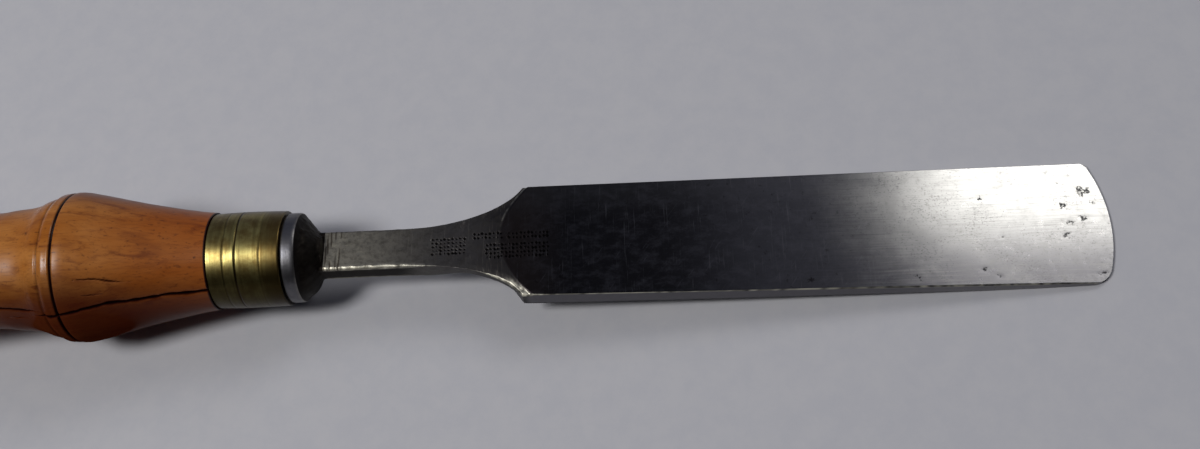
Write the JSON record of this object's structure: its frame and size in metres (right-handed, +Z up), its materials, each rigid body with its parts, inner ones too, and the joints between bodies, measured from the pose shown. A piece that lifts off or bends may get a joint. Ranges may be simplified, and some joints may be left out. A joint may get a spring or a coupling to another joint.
{
  "type": "bench chisel",
  "caption": "Old tanged bench chisel: flat flared steel blade on a slim neck with a round bolster, brass ferrule and a beaded turned boxwood handle.",
  "frame": {"origin": "middle of the footprint, on the surface that the chisel lies on", "axes": "+X from the handle towards the cutting edge, +Y across the blade, +Z up, away from the bench; the tool lies on its bead and on the heel of its bevel, flat face up"},
  "size_m": [0.3282, 0.0368, 0.0395],
  "materials": {
    "tool_steel": "forged and ground carbon steel with a dark patina, lapped bright towards the edge",
    "aged_brass": "satin brass with a brown tarnish and incised lines",
    "boxwood": "turned and oiled, worn to a soft shine"
  },
  "bodies": {
    "root": {"blade": "tool_steel", "ferrule": "aged_brass", "handle": "boxwood"}
  },
  "joints": []
}
